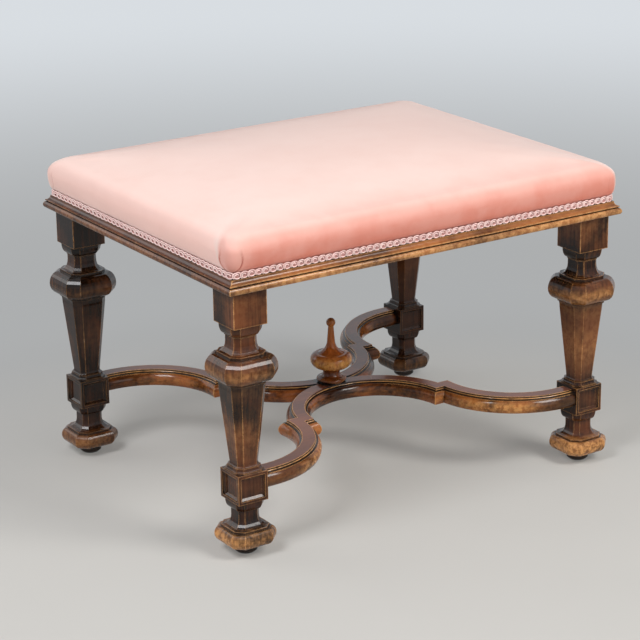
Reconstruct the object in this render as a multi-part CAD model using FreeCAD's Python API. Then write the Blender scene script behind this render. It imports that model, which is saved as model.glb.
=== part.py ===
import FreeCAD
import Part
import math
import os

from FreeCAD import Vector

# Dressing stool: four moulded legs, a curved stretcher with a turned finial, and a seat stuffed over its rails.
# Millimetres, +Z up, with the origin on the floor below the middle of the seat.
# X runs along the long sides, and the front is at -Y.

# Places of the legs
leg_spacing_x = 582.0
leg_spacing_y = 446.0

# Legs: sizes across the flats and heights of the mouldings, from the floor up
corner_ratio = 0.19
curve_steps = 5
foot_bottom_side = 50.0
foot_side = 72.0
foot_top_side = 60.0
foot_under_height = 12.5
foot_over_height = 10.5
foot_plate_side = 56.0
foot_plate_height = 3.0
lower_flare_side = 51.0
lower_flare_height = 14.0
lower_neck_side = 32.0
lower_neck_height = 11.5
lower_ovolo_foot_side = 34.5
lower_ovolo_side = 45.0
lower_ovolo_height = 12.5
lower_block_side = 46.5
lower_block_height = 42.2
collar_plate_side = 45.0
collar_plate_height = 2.0
collar_step_side = 43.0
collar_step_height = 4.0
collar_fillet_side = 38.8
collar_fillet_height = 1.6
collar_cove_side = 37.2
collar_cove_height = 4.4
shaft_bottom_side = 32.5
shaft_top_side = 53.5
shaft_height = 106.0
shaft_flare_side = 57.0
shaft_flare_height = 9.5
bulge_fillet_side = 59.0
bulge_fillet_height = 3.3
bulge_end_side = 61.0
bulge_side = 83.5
bulge_under_height = 15.5
bulge_over_height = 18.5
neck_plate_side = 56.0
neck_plate_height = 4.0
neck_flare_side = 50.5
neck_flare_height = 15.5
neck_side = 35.5
neck_height = 8.0
neck_fillet_side = 37.5
neck_fillet_height = 2.0
upper_ovolo_foot_side = 38.5
upper_ovolo_side = 49.5
upper_ovolo_height = 14.0
upper_block_side = 51.5
upper_block_height = 52.0
leg_tenon_side = 26.0
leg_tenon_height = 20.0

# Sunk panels in the lower blocks
panel_margin = 4.6
panel_depth = 1.8
panel_bevel = 3.2
panel_bevel_depth = 2.4

# Pads under the feet
pad_height = 13.5
pad_radius = 16.0
pad_bevel = 3.0
pad_spigot_radius = 6.0
pad_spigot_length = 14.0

# Seat rails: moulded edge below, set-back tacking part above
rail_overhang = 13.6
rail_width = 66.0
nosing_height = 9.4
nosing_belly = 3.8
nosing_under = 1.6
nosing_over = 4.2
quirk_height = 1.2
quirk_depth = 1.6
rail_fillet_height = 1.2
rail_show_height = 18.6
rail_ledge_setback = 8.5
tack_setback = 13.5
tack_height = 22.5
tack_edge_round = 4.0
tack_corner_radius = 4.0
tongue_length = 40.0
tongue_width = 24.0
tongue_thickness = 4.0
tongue_rise = 4.0
tongue_margin = 5.0

# Stretcher: one moulded edge on two back-to-back arches, each with a cusp and a quarter circle on both sides
arm_flat = 9.5
arm_half_width = 18.0
arm_thickness = 24.0
arm_drop = 3.2
arm_offset = 3.5
arm_run = 13.0
edge_step = 1.8
edge_cove = 2.6
edge_cove_sag = 0.5
edge_fillet = 0.9
bulge_undercut = 3.5
arch_meet = 1.0
cusp_y = 107.0
cusp_step = 16.0
cusp_half_length = 9.0
quarter_lag = 3.0
hub_reach = 56.0
arm_tenon_width = 16.0
arm_tenon_height = 14.0
arm_tenon_length = 18.0
dowel_radius = 4.0
dowel_length = 30.0
dowel_offset = 7.5

# Finial
finial_base_radius = 18.5
finial_base_height = 1.8
finial_ring_radius = 22.3
finial_ring_height = 5.8
finial_neck_radius = 12.6
finial_neck_height = 8.0
finial_flare_radius = 18.0
finial_flare_height = 6.5
finial_onion_radius = 31.0
finial_onion_rise = 19.5
finial_onion_fall = 9.5
finial_groove = 1.6
finial_shoulder_radius = 19.8
finial_waist_radius = 5.8
finial_waist_height = 20.0
finial_spire_radius = 4.0
finial_spire_height = 41.5
finial_ball_radius = 6.9
finial_spigot_radius = 7.0
finial_spigot_length = 16.0

# Webbing, hessian and tacks
web_width = 50.0
web_thickness = 1.6
web_lap = 30.0
web_long_count = 3
web_cross_count = 5
web_slope_run = 8.0
hessian_thickness = 1.0
hessian_margin = 6.0
tack_head_radius = 2.6
tack_head_height = 0.8
tack_shank = 1.3
tack_length = 9.0
web_tacks_per_end = 3
cover_tack_pitch = 74.0

# Stuffing, cover and gimp
seat_swell = 8.4
roll_height = 24.8
shoulder_width = 22.0
shoulder_height = 19.0
crown_height = 22.5
crown_cap_half = 65.0
seat_corner_radius = 11.0
roll_steps = 3
shoulder_steps = 4
crown_steps = 4
cover_thickness = 1.5
cover_hem = 1.0
gimp_height = 9.2
gimp_thickness = 2.2

# Clearances
hole_clearance = 0.15
soft_gap = 0.3
web_gap = 0.1

# Where the sizes above put the main faces
leg_x = leg_spacing_x / 2
leg_y = leg_spacing_y / 2
arm_half_bottom = arm_half_width - bulge_undercut
foot_stack = (
    ("under", foot_under_height, foot_bottom_side, foot_side),
    ("over", foot_over_height, foot_side, foot_top_side),
    ("straight", foot_plate_height, foot_plate_side, foot_plate_side),
    ("under", lower_flare_height, lower_flare_side, lower_neck_side),
    ("straight", lower_neck_height, lower_neck_side, lower_neck_side),
    ("under", lower_ovolo_height, lower_ovolo_foot_side, lower_ovolo_side),
)
shaft_stack = (
    ("straight", collar_plate_height, collar_plate_side, collar_plate_side),
    ("under", collar_step_height, collar_step_side, collar_fillet_side),
    ("straight", collar_fillet_height, collar_fillet_side, collar_fillet_side),
    ("under", collar_cove_height, collar_cove_side, shaft_bottom_side),
    ("straight", shaft_height, shaft_bottom_side, shaft_top_side),
    ("over", shaft_flare_height, shaft_top_side, shaft_flare_side),
    ("straight", bulge_fillet_height, bulge_fillet_side, bulge_fillet_side),
    ("under", bulge_under_height, bulge_end_side, bulge_side),
    ("over", bulge_over_height, bulge_side, bulge_end_side),
    ("straight", neck_plate_height, neck_plate_side, neck_plate_side),
    ("under", neck_flare_height, neck_flare_side, neck_side),
    ("straight", neck_height, neck_side, neck_side),
    ("straight", neck_fillet_height, neck_fillet_side, neck_fillet_side),
    ("under", upper_ovolo_height, upper_ovolo_foot_side, upper_ovolo_side),
)
lower_block_bottom = pad_height + sum(row[1] for row in foot_stack)
lower_block_top = lower_block_bottom + lower_block_height
upper_block_bottom = lower_block_top + sum(row[1] for row in shaft_stack)
rail_bottom = upper_block_bottom + upper_block_height
ledge_z = rail_bottom + rail_show_height
rail_top = ledge_z + tack_height
frame_half_x = leg_x + upper_block_side / 2 + rail_overhang
frame_half_y = leg_y + upper_block_side / 2 + rail_overhang
tack_half_x = frame_half_x - tack_setback
tack_half_y = frame_half_y - tack_setback
rail_inner_x = frame_half_x - rail_width
rail_inner_y = frame_half_y - rail_width
arm_top = lower_block_top - arm_drop
arm_middle = arm_top - arm_thickness / 2
block_face_x = leg_x - lower_block_side / 2
quarter_x = block_face_x - arm_run
quarter_y = cusp_y - quarter_lag
quarter_radius = leg_y + arm_offset - quarter_y
arch_apex = arm_flat - arch_meet
arch_end_x = quarter_x - quarter_radius - cusp_step
arch_drop = cusp_y - arch_apex
arch_radius = (arch_end_x ** 2 + arch_drop ** 2) / (2 * arch_drop)
arch_y = arch_apex + arch_radius
hub_angle = math.degrees(math.asin(hub_reach / arch_radius))
web_rise = (web_thickness + web_gap) / 2
hessian_bottom = rail_top + max(web_thickness + tack_head_height, web_thickness + web_rise) + web_gap
hessian_top = hessian_bottom + hessian_thickness
roll_bottom = ledge_z + gimp_height + soft_gap
crown_reach = tack_half_y + seat_swell
cover_outer = soft_gap + cover_thickness
far = leg_spacing_x + leg_spacing_y
quadrants = (("front_left", -1, -1), ("front_right", 1, -1), ("back_left", -1, 1), ("back_right", 1, 1))


def box(x0, x1, y0, y1, z0, z1):
    return Part.makeBox(x1 - x0, y1 - y0, z1 - z0, Vector(x0, y0, z0))


def line(a, b):
    return Part.LineSegment(a, b).toShape()


def arc(a, through, b):
    return Part.Arc(a, through, b).toShape()


def flipped(shape, sign_x, sign_y):
    """Carries a shape made in the +X, -Y quarter to another quarter."""
    if sign_x < 0:
        shape = shape.mirror(Vector(0, 0, 0), Vector(1, 0, 0))
    if sign_y > 0:
        shape = shape.mirror(Vector(0, 0, 0), Vector(0, 1, 0))
    return shape


def rounded_rectangle(half_x, half_y, radius, z):
    """Closed outline with four straight sides and four quarter circles."""
    near = radius * (1 - math.sqrt(0.5))
    edges = []
    for sx, sy in ((1, 1), (-1, 1), (-1, -1), (1, -1)):
        on_x = Vector(sx * half_x, sy * (half_y - radius), z)
        on_y = Vector(sx * (half_x - radius), sy * half_y, z)
        middle = Vector(sx * (half_x - near), sy * (half_y - near), z)
        first, last = (on_x, on_y) if sx * sy > 0 else (on_y, on_x)
        if edges:
            edges.append(line(edges[-1].Vertexes[-1].Point, first))
        edges.append(arc(first, middle, last))
    edges.append(line(edges[-1].Vertexes[-1].Point, edges[0].Vertexes[0].Point))
    return Part.Wire(edges)


def rounded_prism(half_x, half_y, radius, z0, z1):
    face = Part.Face(rounded_rectangle(half_x, half_y, radius, z0))
    return face.extrude(Vector(0, 0, z1 - z0))


def octagon(side, z):
    """Square with its corners cut off, the section of every moulding on a leg."""
    reach = side / 2
    short = reach - side * corner_ratio
    corners = []
    for sx, sy in ((1, 1), (-1, 1), (-1, -1), (1, -1)):
        pair = [Vector(sx * reach, sy * short, z), Vector(sx * short, sy * reach, z)]
        corners += pair if sx * sy > 0 else pair[::-1]
    return Part.makePolygon(corners + corners[:1])


def moulding(kind, z, height, bottom, top):
    """One moulding on a leg, as a loft: straight, or a quarter round that is level at one end."""
    if kind == "straight":
        return Part.makeLoft([octagon(bottom, z), octagon(top, z + height)], True, True)
    sections = []
    for step in range(curve_steps + 1):
        turn = math.pi / 2 * step / curve_steps
        if kind == "under":
            side = bottom + (top - bottom) * math.sin(turn)
            level = height * (1 - math.cos(turn))
        else:
            side = top + (bottom - top) * math.cos(turn)
            level = height * math.sin(turn)
        sections.append(octagon(side, z + level))
    return Part.makeLoft(sections, True, True)


def stack(rows, z):
    pieces = []
    for kind, height, bottom, top in rows:
        pieces.append(moulding(kind, z, height, bottom, top))
        z += height
    return pieces


def sunk_panel():
    """Solid that sinks a panel with bevelled edges into the face of a lower block at +X."""
    face_x = lower_block_side / 2
    half = face_x - panel_margin
    bottom = lower_block_bottom + panel_margin
    top = lower_block_top - panel_margin
    bed_x = face_x - panel_depth
    field_x = bed_x - panel_bevel_depth
    recess = box(bed_x, face_x, -half, half, bottom, top)
    outlines = []
    for x, inset in ((bed_x, 0), (field_x, panel_bevel)):
        side = half - inset
        low = bottom + inset
        high = top - inset
        corners = [Vector(x, -side, low), Vector(x, side, low), Vector(x, side, high), Vector(x, -side, high)]
        outlines.append(Part.makePolygon(corners + corners[:1]))
    return recess.fuse(Part.makeLoft(outlines, True, True))


def arm_tenon(clearance):
    """Tenon of the front right arm, or with a clearance its mortise."""
    y = leg_y + arm_offset
    half_width = arm_tenon_width / 2 + clearance
    half_height = arm_tenon_height / 2 + clearance
    end = block_face_x + arm_tenon_length + clearance
    return box(block_face_x, end, -y - half_width, -y + half_width,
               arm_middle - half_height, arm_middle + half_height)


def make_leg():
    """Front right leg, standing in its place."""
    half_low = lower_block_side / 2
    half_up = upper_block_side / 2
    half_tenon = leg_tenon_side / 2
    block = box(-half_low, half_low, -half_low, half_low, lower_block_bottom, lower_block_top)
    for turn in (0, 90, -90):
        panel = sunk_panel()
        panel.rotate(Vector(0, 0, 0), Vector(0, 0, 1), turn)
        block = block.cut(panel)
    pieces = stack(foot_stack, pad_height) + [block] + stack(shaft_stack, lower_block_top)
    pieces.append(box(-half_up, half_up, -half_up, half_up, upper_block_bottom, rail_bottom))
    pieces.append(box(-half_tenon, half_tenon, -half_tenon, half_tenon,
                      rail_bottom, rail_bottom + leg_tenon_height))
    leg = pieces[0].multiFuse(pieces[1:]).removeSplitter()
    socket = Part.makeCylinder(pad_spigot_radius + hole_clearance, pad_spigot_length + hole_clearance,
                               Vector(0, 0, pad_height))
    leg = leg.cut(socket)
    leg.translate(Vector(leg_x, -leg_y, 0))
    return leg.cut(arm_tenon(hole_clearance))


def make_pad():
    """Turned pad with a bevelled lower edge and a spigot, under the front right foot."""
    top = pad_height + pad_spigot_length
    points = [Vector(0, 0, 0), Vector(pad_radius - pad_bevel, 0, 0), Vector(pad_radius, 0, pad_bevel),
              Vector(pad_radius, 0, pad_height), Vector(pad_spigot_radius, 0, pad_height),
              Vector(pad_spigot_radius, 0, top), Vector(0, 0, top)]
    pad = Part.Face(Part.makePolygon(points + points[:1])).revolve(Vector(0, 0, 0), Vector(0, 0, 1), 360)
    pad.translate(Vector(leg_x, -leg_y, 0))
    return pad


def rail_section(out_half):
    """Section of a front rail: nosing, quirk, fillet and cove below, tacking part above."""
    def at(inward, up):
        return Vector(0, inward - out_half, rail_bottom + up)
    quirk_top = nosing_height + quirk_height
    lip = nosing_over - quirk_depth
    cove_bottom = quirk_top + rail_fillet_height
    dip = math.sqrt(0.5)
    cove_middle = at(lip + (rail_ledge_setback - lip) * dip,
                     rail_show_height - (rail_show_height - cove_bottom) * dip)
    top = rail_show_height + tack_height
    soften = tack_edge_round * (1 - dip)
    edges = [arc(at(nosing_under, 0), at(0, nosing_belly), at(nosing_over, nosing_height)),
             line(at(nosing_over, nosing_height), at(nosing_over, quirk_top)),
             line(at(nosing_over, quirk_top), at(lip, quirk_top)),
             line(at(lip, quirk_top), at(lip, cove_bottom)),
             arc(at(lip, cove_bottom), cove_middle, at(rail_ledge_setback, rail_show_height)),
             line(at(rail_ledge_setback, rail_show_height), at(tack_setback, rail_show_height)),
             line(at(tack_setback, rail_show_height), at(tack_setback, top - tack_edge_round)),
             arc(at(tack_setback, top - tack_edge_round), at(tack_setback + soften, top - soften),
                 at(tack_setback + tack_edge_round, top)),
             line(at(tack_setback + tack_edge_round, top), at(rail_width, top)),
             line(at(rail_width, top), at(rail_width, 0)),
             line(at(rail_width, 0), at(nosing_under, 0))]
    return Part.Face(Part.Wire(edges))


def make_rail(along_half, out_half, turn):
    """One rail with its mitred ends, made at the front and turned to its side."""
    section = rail_section(out_half)
    section.translate(Vector(-along_half, 0, 0))
    rail = section.extrude(Vector(2 * along_half, 0, 0))
    plan = [Vector(-along_half, -out_half, rail_bottom), Vector(along_half, -out_half, rail_bottom),
            Vector(along_half - rail_width, rail_width - out_half, rail_bottom),
            Vector(rail_width - along_half, rail_width - out_half, rail_bottom)]
    mitres = Part.Face(Part.makePolygon(plan + plan[:1])).extrude(Vector(0, 0, rail_top - rail_bottom))
    rail = rail.common(mitres)
    rail.rotate(Vector(0, 0, 0), Vector(0, 0, 1), turn)
    return rail


def make_tongue(sign_x, sign_y):
    """Loose tongue across a mitre, above the tenon of the leg."""
    half = tongue_length / 2
    bottom = rail_bottom + leg_tenon_height + tongue_rise
    tongue = box(-half, half, -tongue_width / 2, tongue_width / 2, bottom, bottom + tongue_thickness)
    tongue.rotate(Vector(0, 0, 0), Vector(0, 0, 1), 45 * sign_x * sign_y)
    out = (half + tongue_margin) * math.sqrt(0.5)
    tongue.translate(Vector(sign_x * (rail_inner_x + out), sign_y * (rail_inner_y + out), 0))
    return tongue


def edge_profile(place):
    """Moulded edge of the stretcher from its top flat down to its underside; place turns sizes into points."""
    cove_end = arm_flat + edge_cove
    cove_low = edge_step + edge_cove
    lip = cove_end + edge_fillet
    start = cove_low + edge_fillet
    sag = edge_cove_sag * math.sqrt(0.5)
    hollow = place(arm_flat + edge_cove / 2 - sag, edge_step + edge_cove / 2 + sag)
    return [line(place(arm_flat, 0), place(arm_flat, edge_step)),
            arc(place(arm_flat, edge_step), hollow, place(cove_end, cove_low)),
            line(place(cove_end, cove_low), place(lip, cove_low)),
            line(place(lip, cove_low), place(lip, start)),
            arc(place(lip, start), place(arm_half_width, (start + arm_thickness) / 2),
                place(arm_half_bottom, arm_thickness))]


def arm_section(radius):
    """Whole section of the stretcher, standing across +X at a radius from the Z axis."""
    def outer(across, down):
        return Vector(radius + across, 0, arm_top - down)

    def inner(across, down):
        return Vector(radius - across, 0, arm_top - down)
    edges = [line(inner(arm_flat, 0), outer(arm_flat, 0))] + edge_profile(outer)
    edges.append(line(outer(arm_half_bottom, arm_thickness), inner(arm_half_bottom, arm_thickness)))
    edges += edge_profile(inner)[::-1]
    return Part.Face(Part.Wire(edges))


def band(x, y, radius, start, sweep):
    """Stretch of the stretcher along a circle about (x, y), from one angle through another, in degrees."""
    section = arm_section(radius)
    section.rotate(Vector(0, 0, 0), Vector(0, 0, 1), start)
    section.translate(Vector(x, y, 0))
    return section.revolve(Vector(x, y, 0), Vector(0, 0, 1), sweep)


def moulded_stop(edge_y, facing):
    """Block with the moulded edge along X, which gives a band that it meets a returned end."""
    def place(across, down):
        return Vector(-far, edge_y + facing * (across - arm_flat), arm_top - down)
    edges = [line(place(-far, 0), place(arm_flat, 0))] + edge_profile(place)
    edges.append(line(place(arm_half_bottom, arm_thickness), place(-far, arm_thickness)))
    edges.append(line(place(-far, arm_thickness), place(-far, 0)))
    return Part.Face(Part.Wire(edges)).extrude(Vector(2 * far, 0, 0))


def arm_dowels(clearance):
    """Two dowels across the joint of the hub with the front right arm, or with a clearance their holes."""
    turn = math.radians(90 - hub_angle)
    away = Vector(math.cos(turn), math.sin(turn), 0)
    along = Vector(math.sin(turn), -math.cos(turn), 0)
    length = dowel_length + 2 * clearance
    dowels = []
    for side in (-dowel_offset, dowel_offset):
        middle = Vector(0, -arch_y, arm_middle) + away * (arch_radius + side)
        dowels.append(Part.makeCylinder(dowel_radius + clearance, length, middle - along * (length / 2), along))
    return dowels


def make_arm():
    """Front right arm: rest of the arch, cusp, quarter circle, short straight run and tenon."""
    arch = band(0, -arch_y, arch_radius, 90 - hub_angle, hub_angle - 90)
    arch = arch.common(moulded_stop(-cusp_y - cusp_half_length, -1))
    overrun = 2 * (cusp_half_length + arm_half_width) / quarter_radius
    quarter = band(quarter_x, -quarter_y, quarter_radius, 270, -90 - math.degrees(overrun))
    quarter = quarter.common(moulded_stop(cusp_half_length - cusp_y, 1))
    end = arm_section(quarter_radius)
    end.rotate(Vector(0, 0, 0), Vector(0, 0, 1), 270)
    end.translate(Vector(quarter_x, -quarter_y, 0))
    arm = arch.multiFuse([quarter, end.extrude(Vector(arm_run, 0, 0)), arm_tenon(0)])
    for hole in arm_dowels(hole_clearance):
        arm = arm.cut(hole)
    return arm


def make_hub():
    """Middle of the stretcher: the crowns of both arches, with holes for the finial and the dowels."""
    front = band(0, -arch_y, arch_radius, 90 - hub_angle, 2 * hub_angle)
    front = front.common(box(-far, far, -far, 0, 0, arm_top))
    for sign_x in (-1, 1):
        for hole in arm_dowels(hole_clearance):
            front = front.cut(flipped(hole, sign_x, -1))
    hub = front.fuse(flipped(front, 1, 1)).removeSplitter()
    return hub.cut(Part.makeCylinder(finial_spigot_radius + hole_clearance, finial_spigot_length + hole_clearance,
                                     Vector(0, 0, arm_top), Vector(0, 0, -1)))


def make_finial():
    """Turned finial: base, ring, cove, onion with a groove round its shoulder, spire, ball and spigot."""
    def at(radius, up):
        return Vector(radius, 0, arm_top + up)

    def swell(radius, up, end_radius, end_up):
        """Arc that is upright at its first point."""
        reach = end_radius - radius
        rise = end_up - up
        bend = (reach ** 2 + rise ** 2) / (2 * reach)
        half = math.atan2(rise, abs(bend - reach)) / 2
        if abs(reach) > abs(bend):
            half = math.copysign(math.pi / 2, rise) - half
        return arc(at(radius, up), at(radius + bend * (1 - math.cos(half)), up + abs(bend) * math.sin(half)),
                   at(end_radius, end_up))
    ring_bottom = finial_base_height
    ring_top = ring_bottom + finial_ring_height
    neck = ring_top + finial_neck_height
    flare = neck + finial_flare_height
    widest = neck + finial_onion_rise
    shoulder = widest + finial_onion_fall
    waist = shoulder + finial_waist_height
    spire = shoulder + finial_spire_height
    ball = spire + math.sqrt(finial_ball_radius ** 2 - finial_spire_radius ** 2)
    lap = finial_shoulder_radius + finial_groove
    edges = [line(at(0, -finial_spigot_length), at(finial_spigot_radius, -finial_spigot_length)),
             line(at(finial_spigot_radius, -finial_spigot_length), at(finial_spigot_radius, 0)),
             line(at(finial_spigot_radius, 0), at(finial_base_radius, 0)),
             line(at(finial_base_radius, 0), at(finial_base_radius, ring_bottom)),
             arc(at(finial_base_radius, ring_bottom), at(finial_ring_radius, (ring_bottom + ring_top) / 2),
                 at(finial_base_radius, ring_top)),
             arc(at(finial_base_radius, ring_top), at(finial_neck_radius, neck), at(finial_flare_radius, flare)),
             swell(finial_onion_radius, widest, finial_flare_radius, flare),
             swell(finial_onion_radius, widest, lap, shoulder),
             line(at(lap, shoulder), at(finial_shoulder_radius, shoulder)),
             swell(finial_waist_radius, waist, finial_shoulder_radius, shoulder),
             line(at(finial_waist_radius, waist), at(finial_spire_radius, spire)),
             arc(at(finial_spire_radius, spire), at(finial_ball_radius, ball), at(0, ball + finial_ball_radius)),
             line(at(0, ball + finial_ball_radius), at(0, -finial_spigot_length))]
    return Part.Face(Part.Wire(edges)).revolve(Vector(0, 0, 0), Vector(0, 0, 1), 360)


def strip_places(count, half):
    """Middles of strips that share an opening evenly."""
    return [half * (2 * i + 1 - count) / count for i in range(count)]


def web_strip(end_half, crossings, first_over):
    """Strip of webbing along X that passes over and under the strips it crosses."""
    path = [(-end_half, 0.0)]
    for i, place in enumerate(crossings):
        over = (i % 2 == 0) == first_over
        level = web_rise if over else -web_rise
        path += [(place - web_width / 2 - web_gap, level), (place + web_width / 2 + web_gap, level)]
    path.append((end_half, 0.0))
    path[1:1] = [(path[1][0] - web_slope_run, 0.0)]
    path[-1:-1] = [(path[-2][0] + web_slope_run, 0.0)]
    lower = [Vector(x, -web_width / 2, rail_top + z) for x, z in path]
    upper = [Vector(x, -web_width / 2, rail_top + z + web_thickness) for x, z in path[::-1]]
    outline = Part.makePolygon(lower + upper + lower[:1])
    return Part.Face(outline).extrude(Vector(0, web_width, 0))


def make_webbing():
    """Interlaced strips by name, each with the tacks through its two ends."""
    across = strip_places(web_long_count, rail_inner_y)
    along = strip_places(web_cross_count, rail_inner_x)
    strips = {}
    tacks = []
    for i, y in enumerate(across):
        strip = web_strip(rail_inner_x + web_lap, along, i % 2 == 0)
        strip.translate(Vector(0, y, 0))
        strips[f"webbing_long_{i + 1}"] = strip
        tacks += end_tacks(rail_inner_x + web_lap / 2, y, False)
    for i, x in enumerate(along):
        strip = web_strip(rail_inner_y + web_lap, across, i % 2 == 1)
        strip.rotate(Vector(0, 0, 0), Vector(0, 0, 1), 90)
        strip.translate(Vector(x, 0, 0))
        strips[f"webbing_cross_{i + 1}"] = strip
        tacks += end_tacks(rail_inner_y + web_lap / 2, x, True)
    return strips, tacks


def make_tack():
    """Cut tack with its head on z = 0 and its shank below."""
    head = Part.Face(octagon(2 * tack_head_radius, 0)).extrude(Vector(0, 0, tack_head_height))
    half = tack_shank / 2
    return head.fuse(box(-half, half, -half, half, -tack_length, 0))


def end_tacks(reach, place, along_y):
    """Tacks through both ends of a strip of webbing."""
    tacks = []
    for end in (-1, 1):
        for shift in strip_places(web_tacks_per_end, web_width / 2):
            tack = make_tack()
            x, y = end * reach, place + shift
            tack.translate(Vector(y, x, 0) if along_y else Vector(x, y, 0))
            tack.translate(Vector(0, 0, rail_top + web_thickness))
            tacks.append(tack)
    return tacks


def make_cover_tacks():
    """Tacks that hold the foot of the cover on all four sides of the frame, under the gimp."""
    tacks = []
    for turn, along, out in ((0, tack_half_x, tack_half_y), (180, tack_half_x, tack_half_y),
                             (90, tack_half_y, tack_half_x), (270, tack_half_y, tack_half_x)):
        straight = along - tack_corner_radius - tack_length
        count = int(2 * straight / cover_tack_pitch)
        for place in strip_places(count, straight):
            tack = make_tack()
            tack.rotate(Vector(0, 0, 0), Vector(1, 0, 0), 90)
            tack.translate(Vector(place, -out - cover_outer, ledge_z + gimp_height / 2))
            tack.rotate(Vector(0, 0, 0), Vector(0, 0, 1), turn)
            tacks.append(tack)
    return tacks


def seat_levels(grow):
    """Outlines of the seat from its hem to its crown: how far outside the tacking face, corner radius, height."""
    levels = [(grow, tack_corner_radius + grow, ledge_z + cover_hem),
              (grow, tack_corner_radius + grow, roll_bottom)]
    for step in range(1, roll_steps + 1):
        turn = math.pi / 2 * step / roll_steps
        out = seat_swell * math.sin(turn)
        radius = tack_corner_radius + (seat_corner_radius - tack_corner_radius) * step / roll_steps
        levels.append((out + grow, radius + grow, roll_bottom + roll_height * (1 - math.cos(turn))))
    widest = roll_bottom + roll_height

    def crown(inset):
        return crown_height * (1 - (1 - inset / crown_reach) ** 2)
    for step in range(1, shoulder_steps + 1):
        turn = math.pi / 2 * step / shoulder_steps
        inset = shoulder_width * (1 - math.cos(turn))
        level = widest + shoulder_height * math.sin(turn) + crown(inset)
        out = seat_swell - inset + grow * math.cos(turn)
        levels.append((out, seat_corner_radius + grow * math.cos(turn), level + grow * math.sin(turn)))
    span = crown_reach - crown_cap_half - shoulder_width
    for step in range(1, crown_steps + 1):
        share = (step / crown_steps) ** 2
        inset = shoulder_width + span * share
        level = widest + shoulder_height + crown(inset) + grow
        levels.append((seat_swell - inset, seat_corner_radius * (1 + share), level))
    return levels


def seat_form(grow, first):
    """Seat as a loft through its outlines, from one of them upwards."""
    outlines = [rounded_rectangle(tack_half_x + out, tack_half_y + out, radius, z)
                for out, radius, z in seat_levels(grow)[first:]]
    return Part.makeLoft(outlines, True, True)


def make_stuffing():
    """Crowned pad that rests on the hessian and laps over the outer edge of the rails."""
    frame = rounded_prism(tack_half_x + soft_gap, tack_half_y + soft_gap, tack_corner_radius + soft_gap,
                          ledge_z, hessian_top + soft_gap)
    return seat_form(0, 2).cut(frame)


def make_cover():
    """Velvet cover, open below, from its hem on the rails to its crown."""
    return seat_form(cover_outer, 0).cut(seat_form(soft_gap, 0))


def make_gimp():
    """Braid round the foot of the cover, standing on the ledge of the rails."""
    inner = cover_outer + tack_head_height + web_gap
    outer = inner + gimp_thickness
    top = ledge_z + gimp_height
    ring = rounded_prism(tack_half_x + outer, tack_half_y + outer, tack_corner_radius + outer, ledge_z, top)
    return ring.cut(rounded_prism(tack_half_x + inner, tack_half_y + inner, tack_corner_radius + inner,
                                  ledge_z, top))


def make_rails(tongues, tacks):
    """Four rails with the sockets of the legs, the slots of the tongues and the tack holes cut in them."""
    half = leg_tenon_side / 2
    socket_top = rail_bottom + leg_tenon_height
    sockets = [box(sx * leg_x - half, sx * leg_x + half, sy * leg_y - half, sy * leg_y + half,
                   rail_bottom, socket_top) for name, sx, sy in quadrants]
    above = box(-far, far, -far, far, ledge_z, rail_top)
    corners = above.cut(rounded_prism(tack_half_x, tack_half_y, tack_corner_radius, ledge_z, rail_top))
    cuts = Part.makeCompound(sockets + tongues + tacks + [corners])
    rails = {}
    for name, along, out, turn in (("front", frame_half_x, frame_half_y, 0),
                                   ("back", frame_half_x, frame_half_y, 180),
                                   ("right", frame_half_y, frame_half_x, 90),
                                   ("left", frame_half_y, frame_half_x, 270)):
        rails[f"rail_{name}"] = make_rail(along, out, turn).cut(cuts)
    return rails


def make_stool():
    """All pieces of the stool by name."""
    leg = make_leg()
    pad = make_pad()
    arm = make_arm()
    pieces = {}
    tongues = []
    dowels = []
    for name, sign_x, sign_y in quadrants:
        pieces[f"leg_{name}"] = flipped(leg, sign_x, sign_y)
        pieces[f"pad_{name}"] = flipped(pad, sign_x, sign_y)
        pieces[f"stretcher_arm_{name}"] = flipped(arm, sign_x, sign_y)
        pieces[f"mitre_tongue_{name}"] = make_tongue(sign_x, sign_y)
        tongues.append(pieces[f"mitre_tongue_{name}"])
        dowels += [flipped(dowel, sign_x, sign_y) for dowel in arm_dowels(0)]
    pieces["stretcher_hub"] = make_hub()
    pieces["stretcher_dowels"] = Part.makeCompound(dowels)
    pieces["finial"] = make_finial()
    strips, web_tacks = make_webbing()
    cover_tacks = make_cover_tacks()
    pieces.update(make_rails(tongues, web_tacks + cover_tacks))
    for name, strip in strips.items():
        pieces[name] = strip.cut(Part.makeCompound(web_tacks))
    pieces["webbing_tacks"] = Part.makeCompound(web_tacks)
    pieces["hessian"] = box(hessian_margin - tack_half_x, tack_half_x - hessian_margin,
                            hessian_margin - tack_half_y, tack_half_y - hessian_margin,
                            hessian_bottom, hessian_top)
    pieces["stuffing"] = make_stuffing()
    pieces["cover"] = make_cover().cut(Part.makeCompound(cover_tacks))
    pieces["cover_tacks"] = Part.makeCompound(cover_tacks)
    pieces["gimp"] = make_gimp()
    return pieces


os.makedirs("parts", exist_ok=True)
for name, shape in make_stool().items():
    shape.exportStep(f"parts/{name}.step")
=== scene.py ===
import math
import random

import bmesh
import bpy
from mathutils import Matrix, Vector, noise
from mathutils.kdtree import KDTree


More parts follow.
